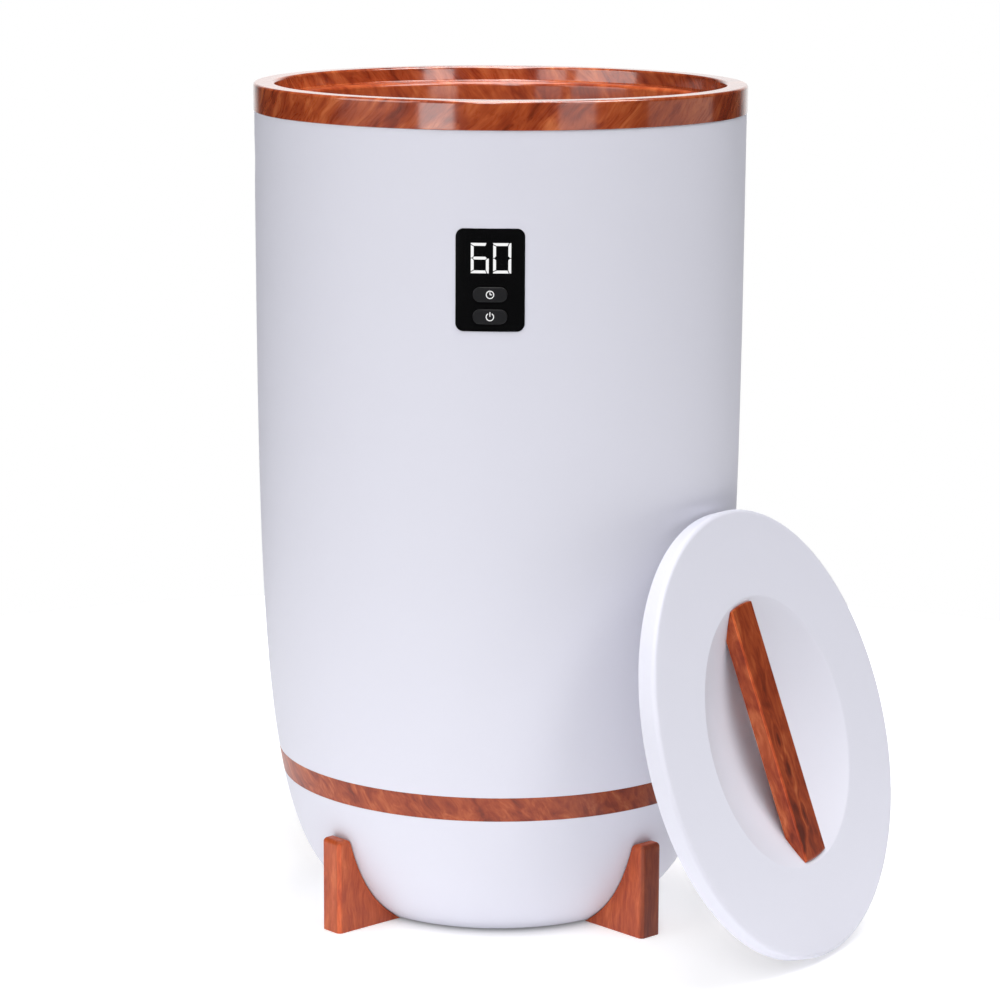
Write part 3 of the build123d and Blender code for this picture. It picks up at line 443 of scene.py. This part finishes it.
def fibrous(name, colour, rough=0.95, scale=900):
    """Felt or foam: soft, matt and full of fine fibres or cells."""
    finish = Finish(name, Specular_IOR_Level=0.2)
    fluff = finish.noise(finish.warped(finish.place, 120, 0.004), scale, 5, 0.7)
    patch = finish.noise(finish.place, 30, 2)
    mixed = 0.7 * fluff + 0.3 * patch
    finish.feed("Base Color", finish.mix(mixed, tuple(0.72 * c for c in colour), colour))
    finish.feed("Roughness", rough - fluff * 0.1)
    finish.feed("Normal", finish.bump(fluff, 0.0004))
    return finish.material


def rubbery(name, colour, rough=0.6):
    """Silicone or rubber with a fine matt skin."""
    finish = Finish(name, Specular_IOR_Level=0.4)
    skin = finish.noise(finish.place, 1400, 3)
    dust = finish.noise(finish.place, 60, 4)
    finish.feed("Base Color", finish.mix(dust.step(0.45, 0.75) * 0.5, colour,
                                         tuple(0.7 * c + 0.06 for c in colour)))
    finish.feed("Roughness", rough + (skin - 0.5) * 0.15)
    finish.feed("Normal", finish.bump(skin, 0.00004))
    return finish.material


def circuit_board(name, colour):
    """Green circuit board with copper tracks under its lacquer."""
    finish = Finish(name, IOR=1.5)
    cells = finish.node("ShaderNodeTexVoronoi", {"feature": "DISTANCE_TO_EDGE"},
                        {"Vector": finish.place, "Scale": 180.0, "Randomness": 0.35})
    tracks = 1 - cells.step(0.04, 0.10)
    finish.feed("Base Color", finish.mix(tracks, colour, tuple(min(1, 1.9 * c + 0.02) for c in colour)))
    finish.feed("Roughness", 0.30 + tracks * 0.15)
    finish.feed("Normal", finish.bump(tracks, 0.00004))
    return finish.material


def plain_part(name, colour, rough=0.45, coat=0.0):
    """Small moulded or wound component with slight mottling."""
    finish = Finish(name, IOR=1.48, Coat_Weight=coat)
    mottle = finish.noise(finish.place, 400, 4)
    finish.feed("Base Color", finish.mix(mottle, colour, tuple(0.85 * c for c in colour)))
    finish.feed("Roughness", rough + (mottle - 0.5) * 0.12)
    finish.feed("Normal", finish.bump(mottle, 0.00003))
    return finish.material


def rounded(corners, steps=6, guard=0.0001):
    """A closed outline through corners, each a radius and a height with the radius of its rounding.

    A guard point beyond each end of a rounding keeps the shading of the straight runs flat."""
    outline = []
    places = [Vector(corner[:2]) for corner in corners]
    for i, (place, rounding) in enumerate(zip(places, (corner[2] for corner in corners))):
        if not rounding:
            outline.append(place)
            continue
        back = (places[i - 1] - place).normalized()
        on = (places[(i + 1) % len(places)] - place).normalized()
        half = back.angle(on) / 2
        reach = rounding / math.tan(half)
        centre = place + (back + on).normalized() * rounding / math.sin(half)
        start, end = place + back * reach - centre, place + on * reach - centre
        outline.append(place + back * (reach + guard))
        outline += [centre + start.lerp(end, k / steps).normalized() * rounding for k in range(steps + 1)]
        outline.append(place + on * (reach + guard))
    return outline


def spun(outline, steps=256):
    """A closed outline of radii and heights, turned all the way round the tub's axis."""
    mesh = bmesh.new()
    corners = [mesh.verts.new((radius, 0, height)) for radius, height in outline]
    edges = [mesh.edges.new(pair) for pair in zip(corners, corners[1:] + corners[:1])]
    bmesh.ops.spin(mesh, geom=corners + edges, cent=(0, 0, 0), axis=(0, 0, 1), dvec=(0, 0, 0),
                   angle=2 * math.pi, steps=steps, use_merge=True)
    return mesh


def piece(name, mesh, body, material, replaced, crease=math.radians(35)):
    """A finished mesh as a piece of the object, smooth but for the edges sharper than crease."""
    bmesh.ops.recalc_face_normals(mesh, faces=mesh.faces)
    data = bpy.data.meshes.new(name)
    mesh.to_mesh(data)
    mesh.free()
    data.polygons.foreach_set("use_smooth", [True] * len(data.polygons))
    data.set_sharp_from_angle(angle=crease)
    data.materials.append(material)
    made = bpy.data.objects.new(name, data)
    bpy.context.scene.collection.objects.link(made)
    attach(made, body)
    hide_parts(*replaced)


def paint_light_zone(name, direction, depth, share):
    """A painted highlight or painted shade on a CAD node, within a depth of its farthest point along a
    direction.
    """
    node = frame["nodes"][name]
    direction = Vector(direction).normalized()
    farthest = max((node.matrix_world @ corner.co).dot(direction) for corner in node.data.vertices)
    return direction, farthest - depth, farthest - 0.4 * depth, share


def wear(nodes, material):
    """Puts a material on CAD nodes that are shown as they are."""
    for name in nodes:
        for slot in frame["nodes"][name].material_slots:
            slot.material = material


# ---- operators ---------------------------------------------------------------------------------------

def lid_axes():
    """The lid's own axes from its packed joint: across the handle, along it, and outward."""
    lift = next(j for j in frame["joints"] if j["name"] == "lid_lift")
    outward = Vector(lift["axis"]).normalized()
    level = Vector((-outward.y, outward.x, 0)).normalized()
    rise = outward.cross(level)
    across = level * math.cos(LID_ROLL) + rise * math.sin(LID_ROLL)
    return across, outward.cross(across), outward


class TOWELWARMER_OT_casing(Operator):
    """Give the shell, bowl, lid and base their moulded plastic"""
    bl_idname = "towelwarmer.casing"
    bl_label = "Casing"

    def execute(self, context):
        looks = context.scene.towelwarmer_casing
        plastic = moulded_plastic("white_plastic", tuple(looks.plastic), looks.gloss, looks.grain)
        wear(["outer_shell", "lower_bowl", "lid_top"], plastic)
        wear(["lid_liner"], moulded_plastic("liner_plastic", tuple(looks.lining), 0.42, looks.grain))
        wear(["base_plate", "cord_gland", "gland_nut"],
             moulded_plastic("base_plastic", tuple(looks.base), 0.48, 2 * looks.grain))
        return {"FINISHED"}


class TOWELWARMER_OT_wood(Operator):
    """Give the band, legs and handle their burl"""
    bl_idname = "towelwarmer.wood"
    bl_label = "Wood-look trim"

    def execute(self, context):
        looks = context.scene.towelwarmer_wood
        # Painted shade: the band is darker towards its right side.
        wear(["trim_band"], burl("band_burl", looks, round_the_rim(-4.0), fineness=1.6, rough=0.42,
                                coat=0.25 * looks.lacquer, lift=0.84, wave=0.034, contrast=1.2,
                                painted_light_zones=[((1, 0, 0), 0.03, 0.09, 0.72)], shift=(-2.65, 0.04, -2.78)))
        for name in [n for n in frame["nodes"] if n.startswith("leg_") and n != "leg_screws"]:
            low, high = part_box(name)
            outward = Vector(((low.x + high.x) / 2, (low.y + high.y) / 2, 0)).normalized()
            across = Vector((-outward.y, outward.x, 0))
            # Painted shade: the outer face of the leg on the right is darker.
            painted_light_zones = [paint_light_zone(name, outward, 0.003, 0.45)] if outward.x > 0.3 else []
            # Painted highlight: a bright line down each edge of the leg's outer face.
            painted_light_zones += [paint_light_zone(name, outward + side * across, 0.0005, 1.35) for side in (-1, 1)]
            wear([name], burl(name + "_burl", looks, upright, fineness=2.0, rough=0.42,
                              coat=0.22 * looks.lacquer, lift=1.08, wave=0.012, stretch=6.0, contrast=0.7,
                              painted_light_zones=painted_light_zones, shift=(-2.57, 0.22, -0.81)))
        across, lengthwise, outward = lid_axes()
        low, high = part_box("lid_handle")
        grain = along(lengthwise, across, tuple((low + high) / 2))
        knots = [((-0.0050, 0, -0.0050), 0.011, 0.0044, 0.24), ((-0.0030, 0, -0.0265), 0.012, 0.0048, 0.36),
                 ((-0.0004, 0, -0.0580), 0.008, 0.0030, 0.18)]
        # Painted shade: the handle's top face is darker. Painted highlight: a bright line along each of its
        # upper edges.
        painted_light_zones = [paint_light_zone("lid_handle", outward, 0.0012, 0.66)]
        painted_light_zones += [paint_light_zone("lid_handle", outward + side * across, 0.0004, 1.7) for side in (-1, 1)]
        wear(["lid_handle"], burl("handle_burl", looks, grain, fineness=1.5, rough=0.42,
                                 coat=0.15 * looks.lacquer, lift=1.02, knots=knots, wave=0.016,
                                 stretch=3.5, contrast=1.3, painted_light_zones=painted_light_zones))
        return {"FINISHED"}


class TOWELWARMER_OT_rim(Operator):
    """Make the lacquered rim with its recess for the lid, and the collar inside it"""
    bl_idname = "towelwarmer.rim"
    bl_label = "Rim and collar"

    def execute(self, context):
        sizes = context.scene.towelwarmer_rim
        looks = context.scene.towelwarmer_wood
        # Painted shade: the rim is darker towards its right side.
        wood = burl("rim_burl", looks, round_the_rim(5.0), fineness=1.0, rough=0.28, coat=looks.lacquer,
                    lift=0.92, wave=0.034, contrast=1.25, painted_light_zones=[((1, 0, 0), 0.06, 0.11, 0.75)])
        piece("rim_trim", spun(self.rim_outline(sizes)), "tub", wood, ["rim_ring"])
        lining = burl("collar_burl", looks, round_the_rim(2.0), fineness=1.0, rough=0.34,
                      coat=0.5 * looks.lacquer, lift=1.02)
        piece("collar_trim", spun(self.collar_outline(sizes)), "tub", lining, ["inner_collar"])
        return {"FINISHED"}

    def rim_outline(self, sizes):
        low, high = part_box("rim_ring")
        shell_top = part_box("outer_shell")[1].z
        ledge = high.z - sizes.depth
        seam = 0.0001
        return rounded([
            (high.x, shell_top + seam, 0.0004),
            (high.x, high.z, sizes.rounding),
            (sizes.mouth, high.z, sizes.rounding),
            (sizes.foot, ledge, 0.001),
            (sizes.ledge, ledge, 0.0003),
            (sizes.ledge, ledge - sizes.ledge_thickness, 0),
            (sizes.skirt - sizes.skirt_thickness, ledge - sizes.ledge_thickness, 0),
            (sizes.skirt - sizes.skirt_thickness, low.z, 0),
            (sizes.skirt, low.z, 0),
            (sizes.skirt, shell_top + seam, 0),
        ])

    def collar_outline(self, sizes):
        low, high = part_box("inner_collar")
        gap = 0.0004
        flange_top = high.z - sizes.ledge_thickness
        return rounded([
            (sizes.throat_foot, low.z, 0),
            (sizes.throat, high.z, sizes.lip),
            (sizes.ledge - gap, high.z, gap),
            (sizes.ledge - gap, flange_top, 0),
            (high.x, flange_top, 0),
            (high.x, flange_top - sizes.flange, 0),
            (sizes.collar_outside, flange_top - sizes.flange, 0),
            (sizes.collar_outside, low.z, 0),
        ])


class TOWELWARMER_OT_panel(Operator):
    """Give the control panel its window, buttons, digits and icons"""
    bl_idname = "towelwarmer.panel"
    bl_label = "Control panel"

    def execute(self, context):
        looks = context.scene.towelwarmer_panel
        wear(["display_window"], glossy_window("panel_black", tuple(looks.window)))
        wear(["timer_button", "power_button"], soft_button("button_grey", tuple(looks.button)))
        wear(["lit_segments"], lit_diffuser("lit_white", tuple(looks.digits), looks.glow, 0.05))
        # Painted glow: the printed icons are given a glow of their own.
        wear(["timer_icon", "power_icon"],
             lit_diffuser("icon_white", tuple(looks.digits), 0.6 * looks.glow, 0.5))
        wear(["timer_plunger", "power_plunger", "tact_switches", "led_module", "buzzer"],
             plain_part("switch_plastic", tint(30, 30, 32)))
        wear(["panel_frame"], plain_part("frame_plastic", tint(208, 208, 212)))
        return {"FINISHED"}


class TOWELWARMER_OT_inside(Operator):
    """Give the pot, its heater and insulation, the electronics and fasteners their finishes"""
    bl_idname = "towelwarmer.inside"
    bl_label = "Inner parts"

    def execute(self, context):
        looks = context.scene.towelwarmer_inner
        wear(["heating_pot"], brushed_metal("pot_aluminium", tuple(looks.metal), 0.36, (0.2, 0.2, 8)))
        wear(["support_ring", "support_posts"],
             brushed_metal("pressed_steel", tuple(looks.steel), 0.42, (1, 1, 1)))
        fasteners = ["rim_screws", "base_screws", "leg_screws", "panel_screws", "handle_screws",
                     "liner_screws"]
        wear(fasteners, brushed_metal("screw_steel", tuple(looks.steel), 0.32, (1, 1, 0.2), 700))
        wear(["thermostat", "temperature_sensor", "thermal_fuse", "capacitor"],
             brushed_metal("can_steel", tuple(looks.steel), 0.30, (1, 1, 0.3), 500))
        wear(["insulation_sleeve", "floor_insulation"], fibrous("felt", tuple(looks.felt)))
        wear(["lid_insulation"], fibrous("foam", tint(222, 220, 214), scale=1500))
        wear(["pot_gasket", "lid_gasket"], rubbery("silicone_grey", tint(150, 150, 154)))
        wear(["heater_mat"], rubbery("silicone_red", tint(168, 62, 40)))
        wear(["heater_leads"], rubbery("lead_red", tint(176, 40, 34), 0.5))
        wear(["sensor_leads", "panel_ribbon"], rubbery("lead_white", tint(220, 220, 222), 0.5))
        wear([n for n in frame["nodes"] if n.startswith("foot_pad_")],
             rubbery("foot_rubber", tuple(looks.rubber)))
        wear(["power_board", "display_board"], circuit_board("circuit_board", tuple(looks.board)))
        wear(["board_standoffs"], plain_part("nylon", tint(226, 226, 224)))
        wear(["transformer"], plain_part("transformer_tape", tint(214, 176, 52), 0.35, 0.3))
        wear(["relay"], plain_part("relay_blue", tint(42, 84, 158), 0.3))
        wear(["terminal_block"], plain_part("terminal_green", tint(52, 140, 82), 0.4))
        return {"FINISHED"}


def soft_box(name, azimuth, distance, height, size, power, aim):
    """A rectangular light on a stand, turned to face a point."""
    light = bpy.data.lights.new(name, "AREA")
    light.shape = "RECTANGLE"
    light.size, light.size_y = size
    light.energy = power
    lamp = bpy.data.objects.new(name, light)
    bpy.context.scene.collection.objects.link(lamp)
    angle = math.radians(azimuth)
    lamp.location = (distance * math.sin(angle), -distance * math.cos(angle), height)
    lamp.rotation_euler = (Vector(aim) - lamp.location).to_track_quat("-Z", "Y").to_euler()


class TOWELWARMER_OT_stage(Operator):
    """Lay the floor and set up the lights and the camera"""
    bl_idname = "towelwarmer.stage"
    bl_label = "Stage"

    def execute(self, context):
        looks = context.scene.towelwarmer_stage
        self.lay_floor(context, looks)
        self.light_room(context, looks)
        self.place_camera(context, looks)
        return {"FINISHED"}

    def lay_floor(self, context, looks):
        mesh = bmesh.new()
        bmesh.ops.create_circle(mesh, cap_ends=True, segments=96, radius=looks.floor_radius)
        data = bpy.data.meshes.new("studio_floor")
        mesh.to_mesh(data)
        mesh.free()
        floor = bpy.data.objects.new("studio_floor", data)
        context.scene.collection.objects.link(floor)
        finish = Finish("floor_paper", Specular_IOR_Level=0.1, Emission_Strength=1.0)
        speck = finish.noise(finish.place, 30, 3)
        pale = tuple(looks.floor)
        finish.feed("Base Color", finish.mix(speck, pale, tuple(0.99 * c for c in pale)))
        finish.feed("Roughness", 0.55 + speck * 0.1)
        away = finish.vector("LENGTH", finish.place, output=1)
        near = (looks.floor_glow,) * 3
        # Painted contact shadow: the floor's glow is cut right down under the tub.
        under = (PAINTED_SHADOW_UNDER_TUB * looks.floor_glow,) * 3
        lit = finish.mix(away.step(*PAINTED_SHADOW_UNDER_TUB_ENDS), under, near)
        far = (FAR_OFF * looks.floor_glow,) * 3
        lit = finish.mix(away.step(*(share * looks.floor_radius for share in FAR_OFF_ENDS)), lit, far)
        # Painted shadow: the floor's glow is lowered round the lid's foot.
        lid = frame["nodes"]["lid_top"]
        foot = min((lid.matrix_world @ corner.co for corner in lid.data.vertices), key=lambda place: place.z)
        beside = finish.vector("DISTANCE", finish.place, (foot.x, foot.y, 0), output=1)
        lid_painted_shadow = (PAINTED_SHADOW_BESIDE_LID * looks.floor_glow,) * 3
        finish.feed("Emission Color", finish.mix(beside.step(*PAINTED_SHADOW_BESIDE_LID_ENDS), lid_painted_shadow, lit))
        data.materials.append(finish.material)

    def light_room(self, context, looks):
        world = bpy.data.worlds.new("studio_room")
        context.scene.world = world
        world.use_nodes = True
        nodes, links = world.node_tree.nodes, world.node_tree.links
        backdrop = nodes["Background"]
        backdrop.inputs["Color"].default_value = (1, 1, 1, 1)
        path = nodes.new("ShaderNodeLightPath")
        toward = nodes.new("ShaderNodeSeparateXYZ")
        links.new(nodes.new("ShaderNodeTexCoord").outputs["Generated"], toward.inputs["Vector"])
        behind = nodes.new("ShaderNodeMapRange")
        behind.inputs["From Min"].default_value, behind.inputs["From Max"].default_value = BEHIND_ENDS
        behind.inputs["To Min"].default_value = looks.mirrored
        links.new(toward.outputs["Y"], behind.inputs["Value"])
        glossy = nodes.new("ShaderNodeMix")
        glossy.inputs["A"].default_value = looks.room
        links.new(path.outputs["Is Glossy Ray"], glossy.inputs["Factor"])
        links.new(behind.outputs["Result"], glossy.inputs["B"])
        strength = nodes.new("ShaderNodeMix")
        strength.inputs["B"].default_value = 1.0
        links.new(path.outputs["Is Camera Ray"], strength.inputs["Factor"])
        links.new(glossy.outputs["Result"], strength.inputs["A"])
        links.new(strength.outputs["Result"], backdrop.inputs["Strength"])
        for name, (power, azimuth, distance, height, size, aim) in SOFT_BOXES.items():
            soft_box(name, azimuth, distance, height, size, getattr(looks, power), (0, 0, aim))

    def place_camera(self, context, looks):
        camera = bpy.data.objects.new("camera", bpy.data.cameras.new("camera"))
        context.scene.collection.objects.link(camera)
        camera.data.sensor_width = 36
        camera.data.lens = looks.lens
        camera.data.clip_start, camera.data.clip_end = 0.1, 200
        turn, away = looks.camera_turn, looks.camera_distance
        place = Matrix.Translation((away * math.sin(turn), -away * math.cos(turn), looks.camera_height))
        heading = Matrix.Rotation(looks.camera_heading, 4, "Z")
        pitch = Matrix.Rotation(math.pi / 2 - looks.camera_pitch, 4, "X")
        roll = Matrix.Rotation(looks.camera_roll, 4, "Z")
        camera.matrix_world = place @ heading @ pitch @ roll
        context.scene.camera = camera
        context.scene.view_settings.view_transform = "Standard"


class TOWELWARMER_PT_sidebar(Panel):
    """Lists the towel warmer's parts and their settings"""
    bl_idname = "TOWELWARMER_PT_sidebar"
    bl_label = "Towel Warmer"
    bl_space_type = "VIEW_3D"
    bl_region_type = "UI"
    bl_category = "Towel Warmer"

    def draw(self, context):
        for group, operator in GROUPS:
            box = self.layout.box()
            box.operator(operator.bl_idname)
            looks = getattr(context.scene, group)
            for name in looks.__annotations__:
                box.prop(looks, name)


GROUPS = [
    ("towelwarmer_casing", TOWELWARMER_OT_casing),
    ("towelwarmer_wood", TOWELWARMER_OT_wood),
    ("towelwarmer_rim", TOWELWARMER_OT_rim),
    ("towelwarmer_panel", TOWELWARMER_OT_panel),
    ("towelwarmer_inner", TOWELWARMER_OT_inside),
    ("towelwarmer_stage", TOWELWARMER_OT_stage),
]
PROPERTY_GROUPS = {
    "towelwarmer_casing": CasingLooks,
    "towelwarmer_wood": WoodLooks,
    "towelwarmer_rim": RimSizes,
    "towelwarmer_panel": PanelLooks,
    "towelwarmer_inner": InnerLooks,
    "towelwarmer_stage": StageLooks,
}


def register():
    for name, group in PROPERTY_GROUPS.items():
        bpy.utils.register_class(group)
        setattr(bpy.types.Scene, name, PointerProperty(type=group))
    for _, operator in GROUPS:
        bpy.utils.register_class(operator)
    bpy.utils.register_class(TOWELWARMER_PT_sidebar)


def unregister():
    bpy.utils.unregister_class(TOWELWARMER_PT_sidebar)
    for _, operator in reversed(GROUPS):
        bpy.utils.unregister_class(operator)
    for name, group in reversed(PROPERTY_GROUPS.items()):
        delattr(bpy.types.Scene, name)
        bpy.utils.unregister_class(group)


def main():
    """Dresses the whole object."""
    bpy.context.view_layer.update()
    register()
    bpy.ops.towelwarmer.casing()
    bpy.ops.towelwarmer.wood()
    bpy.ops.towelwarmer.rim()
    bpy.ops.towelwarmer.panel()
    bpy.ops.towelwarmer.inside()
    bpy.ops.towelwarmer.stage()


if __name__ == "__main__":
    main()
